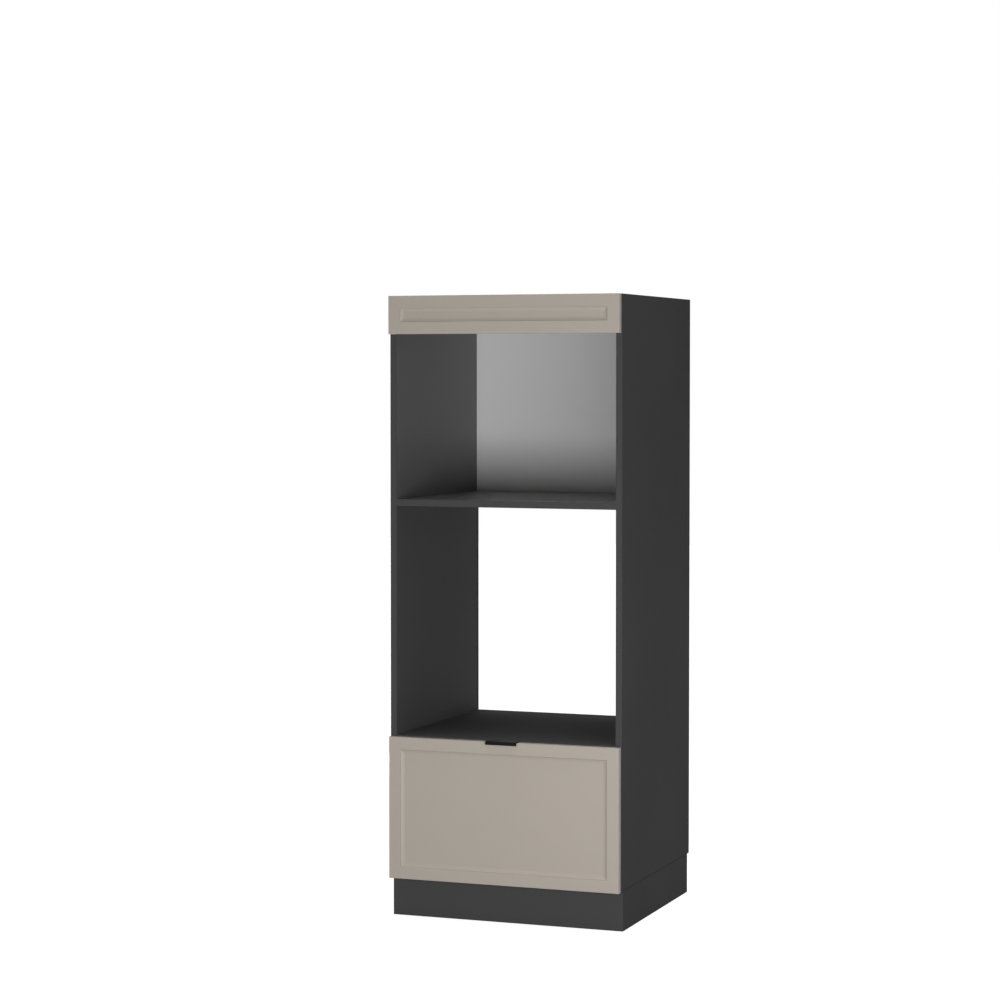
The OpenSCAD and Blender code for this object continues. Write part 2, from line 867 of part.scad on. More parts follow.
module ball_places(ball_u, ball_v) {
    row_l = (ball_count - 1) * ball_pitch;
    for (i = [0:ball_count - 1])
        for (side = [-1, 1])
            translate([
                inner_w / 2 - ball_u,
                runner_y + cage_start + (cage_l - row_l) / 2 + i * ball_pitch,
                runner_z + side * ball_v
            ])
                children();
}

module cage(u, ball_u, ball_v, ball_r) {
    difference() {
        along_runner(cage_start, cage_l) cage_section(u, ball_u, ball_v);
        ball_places(ball_u, ball_v)
            cylinder(r = ball_r + cage_hole_play, h = 4 * cage_t, center = true);
    }
}

module runner_screw_holes(u)
    for (y = runner_screws)
        translate([inner_w / 2 - u, runner_y + y, runner_z])
            rotate([0, 90, 0]) cylinder(r = small_screw[2] + fit, h = 4 * sheet, center = true);

module outer_member() {
    tab_v = inner_v - sheet;
    difference() {
        along_runner(0, runner_l + slide_gap + sheet) outer_section();
        runner_screw_holes(0);
    }
    along_runner(runner_l + slide_gap, sheet)
        translate([0, -tab_v]) square([runner_t - sheet, 2 * tab_v]);
}

module inner_member() {
    difference() {
        along_runner(0, runner_l) inner_section();
        runner_screw_holes(runner_t);
    }
}

module outer_cage() cage(outer_cage_u, outer_ball_u, outer_ball_v, outer_ball_r);

module inner_cage() cage(inner_cage_u, inner_ball_u, inner_ball_v, inner_ball_r);

module runner_outer_right() color(zinc) outer_member();

module runner_outer_left() color(zinc) mirror([1, 0, 0]) outer_member();

module runner_middle_right() color(zinc) along_runner(0, runner_l) middle_section();

module runner_middle_left() mirror([1, 0, 0]) runner_middle_right();

module runner_inner_right() color(zinc) inner_member();

module runner_inner_left() color(zinc) mirror([1, 0, 0]) inner_member();

module outer_cage_right() color(steel) outer_cage();

module outer_cage_left() color(steel) mirror([1, 0, 0]) outer_cage();

module inner_cage_right() color(steel) inner_cage();

module inner_cage_left() color(steel) mirror([1, 0, 0]) inner_cage();

module outer_balls_right()
    color(zinc) ball_places(outer_ball_u, outer_ball_v) sphere(outer_ball_r, $fn = ball_sides);

module outer_balls_left() mirror([1, 0, 0]) outer_balls_right();

module inner_balls_right()
    color(zinc) ball_places(inner_ball_u, inner_ball_v) sphere(inner_ball_r, $fn = ball_sides);

module inner_balls_left() mirror([1, 0, 0]) inner_balls_right();

module cabinet_runner_screws()
    color(zinc)
        both_sides()
            for (y = runner_screws)
                translate([inner_w / 2 - sheet, runner_y + y, runner_z])
                    rotate([0, 90, 0]) screw(small_screw, sheet + runner_screw_in);

module drawer_runner_screws()
    color(zinc)
        both_sides()
            for (y = runner_screws)
                translate([inner_w / 2 - runner_t + sheet, runner_y + y, runner_z])
                    rotate([0, -90, 0]) screw(small_screw, sheet + runner_screw_in);

// ---------------------------------------------------------------- drawer box

// Places of the corner screws in the right-hand box side
module box_screw_places()
    for (y = [box_y + board_t / 2, box_y + box_d - board_t / 2])
        for (z = [box_z + box_screw_edge, box_z + box_h - box_screw_edge])
            translate([box_w / 2, y, z]) rotate([0, -90, 0]) children();

module box_screw() {
    cylinder(r = box_screw_head_r, h = box_screw_head_h);
    cylinder(r = box_screw_r, h = box_screw_l - tip_l);
    translate([0, 0, box_screw_l - tip_l]) cylinder(r1 = box_screw_r, r2 = box_screw_tip_r, h = tip_l);
}

module box_screw_bore() {
    translate([0, 0, -cut]) cylinder(r = box_screw_head_r + fit, h = box_screw_head_h + cut + fit);
    translate([0, 0, -cut]) cylinder(r = box_screw_r + fit, h = box_screw_l + cut + fit);
}

module box_bottom_groove() {
    width = box_inner_w + 2 * (groove_depth + fit);
    translate([0, box_y + board_t - groove_depth - fit, box_bottom_z - fit])
        board(width, box_d, back_t + 2 * fit);
}

module box_side_board() {
    difference() {
        translate([box_w / 2 - board_t, box_y, box_z]) cube([board_t, box_d, box_h]);
        box_bottom_groove();
        box_screw_places() box_screw_bore();
        for (y = runner_screws)
            translate([box_w / 2, runner_y + y, runner_z])
                rotate([0, -90, 0]) screw_hole(small_screw, runner_screw_in);
    }
}

module box_side_right() color(box_grey) box_side_board();

module box_side_left() color(box_grey) mirror([1, 0, 0]) box_side_board();

module front_screw_places()
    both_sides()
        for (z = [box_z + front_screw_edge, box_z + box_h - front_screw_edge])
            translate([front_screw_x, box_y + board_t, z]) rotate([90, 0, 0]) children();

module box_front()
    color(box_grey)
        difference() {
            translate([0, box_y, box_z]) board(box_inner_w, board_t, box_h);
            box_bottom_groove();
            both_sides() box_screw_places() box_screw_bore();
            front_screw_places() screw_hole(wood_screw, board_t + cut);
        }

module box_back()
    color(box_grey)
        difference() {
            low = box_bottom_z + back_t;
            translate([0, box_y + box_d - board_t, low])
                board(box_inner_w, board_t, box_z + box_h - low);
            both_sides() box_screw_places() box_screw_bore();
        }

module box_bottom() {
    front = box_y + board_t - groove_depth;
    color(light_grey)
        translate([0, front, box_bottom_z])
            board(box_inner_w + 2 * groove_depth, box_y + box_d - front, back_t);
}

module box_screws() color(zinc) both_sides() box_screw_places() box_screw();

module drawer_front()
    color(taupe)
        difference() {
            translate([0, y_face, drawer_front_z + drawer_front_h / 2])
                framed_front(drawer_front_h);
            front_screw_places() screw_hole(wood_screw, board_t + front_screw_in);
            handle_screw_places() screw_hole(small_screw, flange_t + front_screw_in);
        }

module front_screws()
    color(zinc) {
        front_screw_places() screw(wood_screw, board_t + front_screw_in);
        handle_screw_places() screw(small_screw, flange_t + front_screw_in);
    }

module handle_screw_places()
    both_sides()
        translate([handle_screw_x, handle_back_y, handle_screw_z]) rotate([90, 0, 0]) children();

// Edge pull: a plate over the drawer front, with a lip before it and a screwed flange behind
module handle() {
    lip_y = y_face - handle_reach;
    color(black)
        difference() {
            along_x(handle_w)
                difference() {
                    union() {
                        translate([lip_y, drawer_front_top])
                            square([handle_back_y - lip_y, handle_t]);
                        translate([lip_y, handle_top - lip_h]) square([handle_t, lip_h]);
                        translate([y_front_rear, handle_top - flange_h])
                            square([flange_t, flange_h]);
                    }
                    translate([lip_y, handle_top])
                        difference() {
                            translate([-cut, -handle_corner_r])
                                square([handle_corner_r + cut, handle_corner_r + cut]);
                            translate([handle_corner_r, -handle_corner_r]) circle(handle_corner_r);
                        }
                }
            handle_screw_places() screw_hole(small_screw, flange_t + cut);
        }
}

// Soft discs behind the drawer front that meet the front edges of the sides
module front_buffers()
    color(milky)
        both_sides()
            for (z = [plinth_h + buffer_edge, oven_floor - buffer_edge])
                translate([cab_w / 2 - board_t / 2, y_front_rear, z]) rod_y(buffer_r, buffer_t);

left_side();
right_side();
bottom_panel();
oven_shelf();
microwave_shelf();
top_panel();
front_rail();
microwave_back();
lower_back();
back_screws();
dowels();
cam_housings();
cam_bolts();
cam_caps();
fascia();
fascia_spacers();
fascia_screws();
wall_brackets();
bracket_screws();
plinth_front();
plinth_left();
plinth_right();
plinth_clips();
clip_screws();
leg_sockets();
leg_screws();
spindle_front_left();
spindle_front_right();
spindle_rear_left();
spindle_rear_right();
pad_front_left();
pad_front_right();
pad_rear_left();
pad_rear_right();
runner_outer_left();
runner_outer_right();
runner_middle_left();
runner_middle_right();
runner_inner_left();
runner_inner_right();
outer_cage_left();
outer_cage_right();
inner_cage_left();
inner_cage_right();
outer_balls_left();
outer_balls_right();
inner_balls_left();
inner_balls_right();
cabinet_runner_screws();
drawer_runner_screws();
box_side_left();
box_side_right();
box_front();
box_back();
box_bottom();
box_screws();
drawer_front();
front_screws();
handle();
front_buffers();
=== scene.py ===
"""Looks of the microwave cabinet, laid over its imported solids.

Every length is in metres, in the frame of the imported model. Carcass, fronts, drawer box, fittings
and feet are dressed by one class each. A solid whose form is already right keeps its mesh and
gets a finish; the others are replaced by a finer piece that stands exactly in their place.
"""

import json
import logging
import math
from collections.abc import Callable, Iterable
from dataclasses import dataclass
from enum import Enum

import bmesh
import bpy
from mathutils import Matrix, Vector


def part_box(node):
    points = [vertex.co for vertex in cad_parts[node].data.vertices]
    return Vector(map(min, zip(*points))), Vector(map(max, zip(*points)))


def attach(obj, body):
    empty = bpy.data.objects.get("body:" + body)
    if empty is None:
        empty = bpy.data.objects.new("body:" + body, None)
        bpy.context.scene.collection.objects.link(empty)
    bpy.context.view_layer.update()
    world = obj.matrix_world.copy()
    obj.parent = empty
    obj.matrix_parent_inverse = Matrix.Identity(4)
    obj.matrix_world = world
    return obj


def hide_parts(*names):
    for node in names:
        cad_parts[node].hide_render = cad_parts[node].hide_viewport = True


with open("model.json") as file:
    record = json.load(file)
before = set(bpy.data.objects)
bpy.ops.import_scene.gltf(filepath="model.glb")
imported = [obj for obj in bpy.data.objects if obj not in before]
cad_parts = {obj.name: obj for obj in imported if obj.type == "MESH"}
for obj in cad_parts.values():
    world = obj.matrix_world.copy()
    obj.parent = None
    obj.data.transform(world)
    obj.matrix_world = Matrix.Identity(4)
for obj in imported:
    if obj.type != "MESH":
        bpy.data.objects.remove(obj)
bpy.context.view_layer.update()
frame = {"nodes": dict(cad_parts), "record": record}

LOG = logging.getLogger("microwave_cabinet")

Colour = tuple[float, float, float]
Place = tuple[float, float, float]
Socket = bpy.types.NodeSocket

REARWARD: Place = (0.0, 1.0, 0.0)
UPWARD: Place = (0.0, 0.0, 1.0)
DOWNWARD: Place = (0.0, 0.0, -1.0)

# A place this near to a wall lies on it.
TOUCH = 2e-5
# Corners nearer to each other than this are one.
WELD = 2e-6
# Faces that bend less than this at their common edge are one.
FLAT_UNDER = math.radians(0.4)


def linear(red: float, green: float, blue: float) -> Colour:
    """Turns a screen colour into the light values that the shaders take.

    Args:
        red: Red part, 0 to 255.
        green: Green part, 0 to 255.
        blue: Blue part, 0 to 255.

    Returns:
        The three linear parts, 0 to 1.
    """
    parts = []
    for part in (red, green, blue):
        share = part / 255.0
        parts.append(share / 12.92 if share <= 0.04045 else ((share + 0.055) / 1.055) ** 2.4)
    return parts[0], parts[1], parts[2]


def tinted(colour: Colour, tint: Colour) -> Colour:
    """Multiplies a colour by a tint, part by part."""
    return colour[0] * tint[0], colour[1] * tint[1], colour[2] * tint[2]


def toned(colour: Colour, share: float) -> Colour:
    """Makes a colour lighter or darker by a factor."""
    return tinted(colour, (share, share, share))


def body_that_holds(node: str) -> str:
    """Names the moving body that a solid belongs to.

    Args:
        node: Name of the solid.

    Returns:
        Name of its body in the record.
    """
    bodies = frame["record"]["behaviour"]["bodies"]
    return next(name for name, members in bodies.items() if node in members)


# ---------- shader trees


class Tree:
    """Adds and joins the nodes of one shader tree."""

    def __init__(self, tree: bpy.types.NodeTree) -> None:
        """Keeps the tree.

        Args:
            tree: The node tree that is filled.
        """
        self.tree = tree

    def add(self, kind: str, **settings: object) -> bpy.types.Node:
        """Adds a node.

        Args:
            kind: Node type.
            settings: Names of the node's properties, and their values.

        Returns:
            The new node.
        """
        node = self.tree.nodes.new(kind)
        for name, value in settings.items():
            setattr(node, name, value)
        return node

    def put(self, value: object, socket: Socket) -> None:
        """Links a socket to an input, or writes a plain value into it.

        Args:
            value: Socket or plain value.
            socket: The input that gets it.
        """
        if isinstance(value, Socket):
            self.tree.links.new(value, socket)
        else:
            socket.default_value = value

    def feed(self, node: bpy.types.Node, **inputs: object) -> bpy.types.Node:
        """Fills inputs of a node with sockets or plain values.

        Args:
            node: The node.
            inputs: Input names, with underscores for spaces, and their sockets or values.

        Returns:
            The same node.
        """
        for name, value in inputs.items():
            self.put(value, node.inputs[name.replace("_", " ")])
        return node

    def sum(self, operation: str, first: object, second: object = 0.0) -> Socket:
        """Does arithmetic on two values.

        Args:
            operation: Name of the arithmetic operation.
            first: First socket or number.
            second: Second socket or number.

        Returns:
            The result's socket.
        """
        node = self.add("ShaderNodeMath", operation=operation)
        self.put(first, node.inputs[0])
        self.put(second, node.inputs[1])
        return node.outputs[0]

    def scaled(self, value: Socket, share: float) -> Socket:
        """Multiplies a value by a number."""
        return self.sum("MULTIPLY", value, share)

    def weighted(self, first: Socket, second: Socket, share: float) -> Socket:
        """Adds two values, with the given share of the second."""
        return self.sum("ADD", self.scaled(first, 1.0 - share), self.scaled(second, share))

    def vector(self, operation: str, first: object, second: object,
               result: str = "Vector") -> Socket:
        """Does arithmetic on two places.

        Args:
            operation: Name of the arithmetic operation.
            first: First socket or place.
            second: Second socket or place.
            result: Output that holds the result, Vector or Value.

        Returns:
            The result's socket.
        """
        node = self.add("ShaderNodeVectorMath", operation=operation)
        self.put(first, node.inputs[0])
        self.put(second, node.inputs[1])
        return node.outputs[result]

    def ramp(self, value: object, low: float, high: float, start: float = 0.0,
             end: float = 1.0) -> Socket:
        """Maps a value smoothly from one span to another.

        Args:
            value: Socket or number to map.
            low: Value that gives the start.
            high: Value that gives the end.
            start: Result at or below the low value.
            end: Result at or above the high value.

        Returns:
            The result's socket.
        """
        node = self.add("ShaderNodeMapRange", interpolation_type="SMOOTHSTEP")
        for name, part in (("Value", value), ("From Min", low), ("From Max", high),
                           ("To Min", start), ("To Max", end)):
            self.put(part, node.inputs[name])
        return node.outputs["Result"]

    def between(self, mask: Socket, start: float, end: float) -> Socket:
        """Goes smoothly from one value to another as a mask goes from zero to one."""
        return self.ramp(mask, 0.0, 1.0, start, end)

    def blend(self, mask: object, first: object, second: object) -> Socket:
        """Mixes two colours.

        Args:
            mask: Share of the second colour.
            first: First colour.
            second: Second colour.

        Returns:
            The mixed colour's socket.
        """
        node = self.add("ShaderNodeMix", data_type="RGBA")
        self.put(mask, node.inputs[0])
        for value, slot in ((first, 6), (second, 7)):
            self.put((*value, 1.0) if isinstance(value, tuple) else value, node.inputs[slot])
        return node.outputs[2]

    def noise(self, vector: Socket, scale: object, detail: float, rough: float) -> Socket:
        """Adds a soft noise.

        Args:
            vector: Place at which the noise is read.
            scale: Cells per metre.
            detail: Number of finer layers.
            rough: Weight of the finer layers.

        Returns:
            The noise value's socket.
        """
        node = self.add("ShaderNodeTexNoise")
        self.feed(node, Vector=vector, Scale=scale, Detail=detail, Roughness=rough)
        return node.outputs["Fac"]

    def cells(self, vector: Socket, scale: object, **settings: object) -> bpy.types.Node:
        """Adds a pattern of cells.

        Args:
            vector: Place at which the pattern is read.
            scale: Cells per metre.
            settings: Names of the node's properties, and their values.

        Returns:
            The pattern's node.
        """
        node = self.add("ShaderNodeTexVoronoi", **settings)
        return self.feed(node, Vector=vector, Scale=scale)

    def stretched(self, vector: Socket, scale: Place) -> Socket:
        """Stretches a pattern along the axes.

        Args:
            vector: Place at which the pattern is read.
            scale: Factor along each axis.

        Returns:
            The stretched place's socket.
        """
        node = self.feed(self.add("ShaderNodeMapping"), Vector=vector, Scale=scale)
        return node.outputs["Vector"]

    def bump(self, height: Socket, distance: float, strength: float = 1.0) -> Socket:
        """Turns a height into a normal.

        Args:
            height: Height, 0 to 1.
            distance: Height of the relief in metres.
            strength: Share of the relief that shows.

        Returns:
            The normal's socket.
        """
        node = self.add("ShaderNodeBump")
        self.feed(node, Height=height, Distance=distance, Strength=strength)
        return node.outputs["Normal"]


class Effect(Enum):
    """Surface effects that finishes share."""

    PEARL = "pearl_structure"
    DRIFT = "tone_drift"
    BAND = "edge_band"
    CHIPS = "chipboard_core"
    ROLLED = "rolled_streaks"
    PEEL = "orange_peel"
    INSIDE = "inside_box"


class EffectTree(Tree):
    """Inside of a shared effect, whose sockets are made as they are named."""

    def __init__(self, effect: Effect) -> None:
        """Builds the effect between the two ends of its node group.

        Args:
            effect: Which effect.
        """
        super().__init__(bpy.data.node_groups.new(effect.value, "ShaderNodeTree"))
        self.source = self.add("NodeGroupInput")
        self.result = self.add("NodeGroupOutput")
        makers: dict[Effect, Callable[[], None]] = {
            Effect.PEARL: self.pearl,
            Effect.DRIFT: self.drift,
            Effect.BAND: self.band,
            Effect.CHIPS: self.chips,
            Effect.ROLLED: self.rolled,
            Effect.PEEL: self.peel,
            Effect.INSIDE: self.inside,
        }
        makers[effect]()

    def read(self, **inputs: str) -> tuple[Socket, ...]:
        """Makes the inputs.

        Args:
            inputs: Their names, and whether each is a Vector or a Float.

        Returns:
            Their sockets inside the effect.
        """
        for name, kind in inputs.items():
            self.tree.interface.new_socket(name, in_out="INPUT", socket_type=f"NodeSocket{kind}")
        return tuple(self.source.outputs[name] for name in inputs)

    def give(self, **outputs: Socket) -> None:
        """Makes the outputs and fills them.

        Args:
            outputs: Their names and the sockets that fill them.
        """
        for name in outputs:
            self.tree.interface.new_socket(name, in_out="OUTPUT", socket_type="NodeSocketFloat")
        self.feed(self.result, **outputs)

    def pearl(self) -> None:
        """Draws the fine pitted press-plate structure of a melamine face."""
        place, scale = self.read(Vector="Vector", Scale="Float")
        cells = self.cells(place, scale, feature="SMOOTH_F1")
        grain = self.noise(place, self.scaled(scale, share=2.3), detail=2.0, rough=0.6)
        pits = self.ramp(cells.outputs["Distance"], low=0.15, high=0.75)
        self.give(Height=self.weighted(pits, grain, share=0.3),
                  Speckle=self.ramp(grain, low=0.42, high=0.66))

    def drift(self) -> None:
        """Draws a slow change of tone over a whole face, and a cloudier one inside it."""
        place, scale = self.read(Vector="Vector", Scale="Float")
        slow = self.noise(place, scale, detail=1.0, rough=0.4)
        cloud = self.noise(place, self.scaled(scale, share=9.0), detail=4.0, rough=0.55)
        self.give(Drift=self.ramp(slow, low=0.3, high=0.7),
                  Cloud=self.ramp(cloud, low=0.3, high=0.72))

    def band(self) -> None:
        """Draws the strip glued on an edge, and the hairline where it meets the face."""
        place, edge, inward, thickness = self.read(Vector="Vector", Edge="Vector",
                                                   Inward="Vector", Thickness="Float")
        offset = self.vector("SUBTRACT", place, edge)
        depth = self.vector("DOT_PRODUCT", offset, inward, result="Value")
        away = self.sum("ABSOLUTE", self.sum("SUBTRACT", depth, thickness))
        self.give(Band=self.sum("LESS_THAN", depth, thickness),
                  Seam=self.ramp(away, low=0.00003, high=0.00012, start=1.0, end=0.0))

    def chips(self) -> None:
        """Draws the pressed wood chips of an unbanded board edge."""
        place, scale = self.read(Vector="Vector", Scale="Float")
        flat = self.stretched(place, (1.0, 1.0, 2.6))
        cells = self.cells(flat, scale, feature="F1")
        edges = self.cells(flat, scale, feature="DISTANCE_TO_EDGE")
        tone = self.feed(self.add("ShaderNodeSeparateColor"), Color=cells.outputs["Color"])
        gap = self.ramp(edges.outputs["Distance"], low=0.01, high=0.09, start=1.0, end=0.0)
        self.give(Tone=tone.outputs["Red"], Gap=gap,
                  Height=self.sum("SUBTRACT", tone.outputs["Green"], gap))

    def rolled(self) -> None:
        """Draws the long fine streaks that rolled or drawn metal keeps along its length."""
        place, along, scale = self.read(Vector="Vector", Along="Vector", Scale="Float")
        lane = self.vector("MULTIPLY", place, along)
        broad = self.noise(lane, self.scaled(scale, share=0.14), detail=2.0, rough=0.5)
        self.give(Streak=self.ramp(broad, low=0.34, high=0.66),
                  Height=self.noise(lane, scale, detail=4.0, rough=0.7))

    def peel(self) -> None:
        """Draws the low waves of a sprayed coat."""
        place, scale = self.read(Vector="Vector", Scale="Float")
        wave = self.noise(place, scale, detail=1.5, rough=0.45)
        fine = self.noise(place, self.scaled(scale, share=4.0), detail=1.0, rough=0.5)
        self.give(Height=self.weighted(wave, fine, share=0.2))

    def inside(self) -> None:
        """Gives one inside a box that lies along the axes, and nothing outside it."""
        place, low, high = self.read(Vector="Vector", Low="Vector", High="Vector")
        reach = self.vector("MINIMUM", self.vector("SUBTRACT", place, low),
                            self.vector("SUBTRACT", high, place))
        parts = self.feed(self.add("ShaderNodeSeparateXYZ"), Vector=reach)
        least = self.sum("MINIMUM", parts.outputs["X"],
                         self.sum("MINIMUM", parts.outputs["Y"], parts.outputs["Z"]))
        self.give(Mask=self.sum("GREATER_THAN", least, 0.0))


class EffectShelf:
    """Builds each shared effect once and hands out copies of it."""

    def __init__(self) -> None:
        """Starts with an empty shelf."""
        self.built: dict[Effect, EffectTree] = {}

    def take(self, tree: Tree, effect: Effect, **inputs: object) -> tuple[Socket, ...]:
        """Places an effect in a tree.

        Args:
            tree: Tree that gets the effect.
            effect: Which effect.
            inputs: Values of its inputs.

        Returns:
            The sockets of its outputs, in the order in which its maker gives them.
        """
        if effect not in self.built:
            self.built[effect] = EffectTree(effect)
        node = tree.add("ShaderNodeGroup", node_tree=self.built[effect].tree)
        return tuple(tree.feed(node, **inputs).outputs)


SHELF = EffectShelf()


# ---------- finishes


def emptied(owner: bpy.types.Material | bpy.types.World) -> bpy.types.NodeTree:
    """Empties the shader tree of a material or a world.

    Args:
        owner: The material or the world.

    Returns:
        Its empty tree.
    """
    owner.use_nodes = True
    owner.node_tree.nodes.clear()
    return owner.node_tree


class FinishTree(Tree):
    """Shader tree of one finish."""

    def __init__(self, name: str) -> None:
        """Starts the material with its main shader and the solid's own space.

        Args:
            name: Name of the finish.
        """
        self.material = bpy.data.materials.new(name)
        super().__init__(emptied(self.material))
        self.shader = self.add("ShaderNodeBsdfPrincipled")
        self.feed(self.add("ShaderNodeOutputMaterial"), Surface=self.shader.outputs["BSDF"])
        self.place = self.add("ShaderNodeTexCoord").outputs["Object"]

    def effect(self, effect: Effect, **inputs: object) -> tuple[Socket, ...]:
        """Places a shared effect in the solid's own space and gives its outputs."""
        return SHELF.take(self, effect, Vector=self.place, **inputs)

    def finish(self, **inputs: object) -> bpy.types.Material:
        """Fills the main shader and gives the material."""
        self.feed(self.shader, **inputs)
        return self.material


@dataclass(frozen=True)
class Lining:
    """Box round the faces that line a niche, and their share of gloss."""

    low: Place
    high: Place
    gloss: float


@dataclass(frozen=True)
class Melamine:
    """Melamine-faced board, with a glued band on one edge."""

    name: str
    colour: Colour
    band_edge: Place
    band_inward: Place
    linings: tuple[Lining, ...] = ()
    light: float = 1.08
    dark: float = 0.93
    cloud_share: float = 0.06
    band_t: float = 0.0008
    band_tone: float = 0.98
    band_share: float = 0.8
    band_flat: float = 0.8
    band_gloss: float = 0.05
    seam_tone: float = 0.45
    seam_share: float = 0.55
    roughness: float = 0.86
    smoother: float = 0.025
    rougher: float = 0.035
    specular: float = 0.06
    lining_roughness: float = 0.52
    lining_ior: float = 1.9

    def make(self) -> bpy.types.Material:
        """Builds the material.

        Returns:
            The material.
        """
        tree = FinishTree(self.name)
        pits, speckle = tree.effect(Effect.PEARL, Scale=1100.0)
        drift, cloud = tree.effect(Effect.DRIFT, Scale=2.2)
        band, seam = tree.effect(Effect.BAND, Edge=self.band_edge, Inward=self.band_inward,
                                 Thickness=self.band_t)
        face = tree.blend(speckle, toned(self.colour, self.dark), toned(self.colour, self.light))
        for mask, share, tone in ((cloud, self.cloud_share, self.light),
                                  (band, self.band_share, self.band_tone),
                                  (seam, self.seam_share, self.seam_tone)):
            face = tree.blend(tree.scaled(mask, share), face, toned(self.colour, tone))
        rough = tree.between(drift, self.roughness - self.smoother,
                             self.roughness + self.rougher)
        rough = tree.sum("SUBTRACT", rough, tree.scaled(band, self.band_gloss))
        lined: object = 0.0
        for lining in self.linings:
            inside, = tree.effect(Effect.INSIDE, Low=lining.low, High=lining.high)
            lined = tree.sum("MAXIMUM", lined, tree.scaled(inside, lining.gloss))
        if self.linings:
            tree.feed(tree.shader, Coat_Roughness=self.lining_roughness,
                      Coat_IOR=self.lining_ior, Coat_Weight=lined)
        pitted = tree.sum("SUBTRACT", 1.0, tree.scaled(band, self.band_flat))
        relief = tree.bump(tree.sum("MULTIPLY", pits, pitted), distance=0.000035)
        return tree.finish(Base_Color=face, Roughness=rough, Specular_IOR_Level=self.specular,
                           Normal=relief)


@dataclass(frozen=True)
class RawChipboard:
    """Unbanded sawn edge of a board: a coarse middle between two fine faces."""

    name: str = "sawn_chipboard"
    pale: Colour = linear(214, 190, 154)
    dark: Colour = linear(150, 120, 84)
    fine_share: float = 0.4
    gap_shade_share: float = 0.6
    gap_shade_tone: float = 0.4

    def make(self) -> bpy.types.Material:
        """Builds the material.

        Returns:
            The material.
        """
        tree = FinishTree(self.name)
        coarse, gap, height = tree.effect(Effect.CHIPS, Scale=420.0)
        fine = tree.effect(Effect.CHIPS, Scale=1700.0)[0]
        wood = tree.blend(tree.weighted(coarse, fine, self.fine_share), self.dark, self.pale)
        # The gaps between chips are drawn darker. This is painted shade in the voids, which the
        # relief also sinks.
        wood = tree.blend(tree.scaled(gap, self.gap_shade_share), wood,
                          toned(self.dark, self.gap_shade_tone))
        return tree.finish(Base_Color=wood, Roughness=0.86,
                           Normal=tree.bump(height, distance=0.00025, strength=0.7))


@dataclass(frozen=True)
class Lacquer:
    """Matt lacquer sprayed on milled fibreboard."""

    name: str = "taupe_lacquer"
    colour: Colour = linear(163, 155, 146)
    cloud_share: float = 0.35
    cloud_tone: float = 0.975
    fleck_share: float = 0.25
    fleck_tone: float = 1.03
    smoothest: float = 0.40
    roughest: float = 0.45

    def make(self) -> bpy.types.Material:
        """Builds the material.

        Returns:
            The material.
        """
        tree = FinishTree(self.name)
        waves, = tree.effect(Effect.PEEL, Scale=210.0)
        drift, cloud = tree.effect(Effect.DRIFT, Scale=1.6)
        flecks = tree.effect(Effect.PEARL, Scale=2600.0)[1]
        face = tree.blend(tree.scaled(cloud, self.cloud_share), self.colour,
                          toned(self.colour, self.cloud_tone))
        face = tree.blend(tree.scaled(flecks, self.fleck_share), face,
                          toned(self.colour, self.fleck_tone))
        return tree.finish(Base_Color=face, Specular_IOR_Level=0.30,
                           Roughness=tree.between(drift, self.smoothest, self.roughest),
                           Normal=tree.bump(waves, distance=0.00003, strength=0.8))


@dataclass(frozen=True)
class Hardboard:
    """Thin fibreboard: painted and smooth in front, raw and screened behind."""

    name: str
    middle: Place
    front_inward: Place
    colour: Colour
    raw: Colour = linear(174, 138, 104)
    cloud_share: float = 0.3
    cloud_tone: float = 0.97
    fibre_tone: float = 0.62
    fibre_relief: float = 0.25
    painted_roughness: float = 0.5
    raw_roughness: float = 0.86

    def make(self) -> bpy.types.Material:
        """Builds the material.

        Returns:
            The material.
        """
        tree = FinishTree(self.name)
        painted = tree.effect(Effect.BAND, Edge=self.middle, Inward=self.front_inward,
                              Thickness=0.0)[0]
        cloud = tree.effect(Effect.DRIFT, Scale=2.4)[1]
        fibre = tree.noise(tree.stretched(tree.place, (1.0, 1.0, 0.35)), scale=900.0,
                           detail=5.0, rough=0.7)
        screen = tree.cells(tree.place, scale=650.0, feature="F1", distance="CHEBYCHEV")
        tree.feed(screen, Randomness=0.12)
        front = tree.blend(tree.scaled(cloud, self.cloud_share), self.colour,
                           toned(self.colour, self.cloud_tone))
        back = tree.blend(tree.ramp(fibre, low=0.35, high=0.7),
                          toned(self.raw, self.fibre_tone), self.raw)
        screened = tree.sum("MULTIPLY", screen.outputs["Distance"],
                            tree.sum("SUBTRACT", 1.0, painted))
        height = tree.sum("ADD", tree.scaled(fibre, self.fibre_relief), screened)
        rough = tree.between(painted, self.raw_roughness, self.painted_roughness)
        return tree.finish(Base_Color=tree.blend(painted, back, front), Roughness=rough,
                           Specular_IOR_Level=0.3,
                           Normal=tree.bump(height, distance=0.00008, strength=0.6))


@dataclass(frozen=True)
class ZincPlate:
    """Bright zinc plating over rolled or turned steel."""

    name: str
    along: Place
    colour: Colour = linear(198, 200, 205)
    roughness: float = 0.30
    smoother: float = 0.06
    rougher: float = 0.08
    bluish: Colour = (0.86, 0.90, 0.97)
    warm: Colour = (1.0, 0.97, 0.90)
    warm_share: float = 0.35

    def make(self) -> bpy.types.Material:
        """Builds the material.

        Returns:
            The material.
        """
        tree = FinishTree(self.name)
        streak, height = tree.effect(Effect.ROLLED, Along=self.along, Scale=900.0)
        cloud = tree.effect(Effect.DRIFT, Scale=26.0)[1]
        face = tree.blend(streak, tinted(self.colour, self.bluish), self.colour)
        face = tree.blend(tree.scaled(cloud, self.warm_share), face,
                          tinted(self.colour, self.warm))
        rough = tree.between(streak, self.roughness - self.smoother,
                             self.roughness + self.rougher)
        return tree.finish(Base_Color=face, Metallic=1.0, Roughness=rough,
                           Normal=tree.bump(height, distance=0.00001, strength=0.6))


